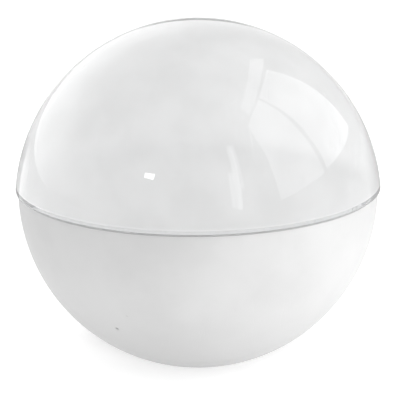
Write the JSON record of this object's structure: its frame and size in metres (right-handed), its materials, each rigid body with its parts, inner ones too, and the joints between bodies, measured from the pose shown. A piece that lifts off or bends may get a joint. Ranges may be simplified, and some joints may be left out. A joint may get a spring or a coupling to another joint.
{
  "type": "capsule ball",
  "caption": "Hollow ball that opens at its equator: a clear glossy dome plugs into an opaque white half-shell with a small flat foot, to hold a small item inside.",
  "frame": {"origin": "centre of the underside of the flat foot", "axes": "+Z is the ball's axis of symmetry, pointing from the foot to the top of the dome; X and Y are equivalent"},
  "size_m": [0.066, 0.066, 0.0623],
  "materials": {
    "white_shell": "satin matte moulded white",
    "clear_dome": "glossy clear with a faint milky haze"
  },
  "bodies": {
    "base": {"base_shell": "white_shell"},
    "dome": {"dome_lid": "clear_dome"}
  },
  "joints": [
    {"name": "dome_lift", "type": "slide", "parent": "base", "child": "dome", "axis": [0, 0, 1], "range_m": [0, 0.06]}
  ]
}
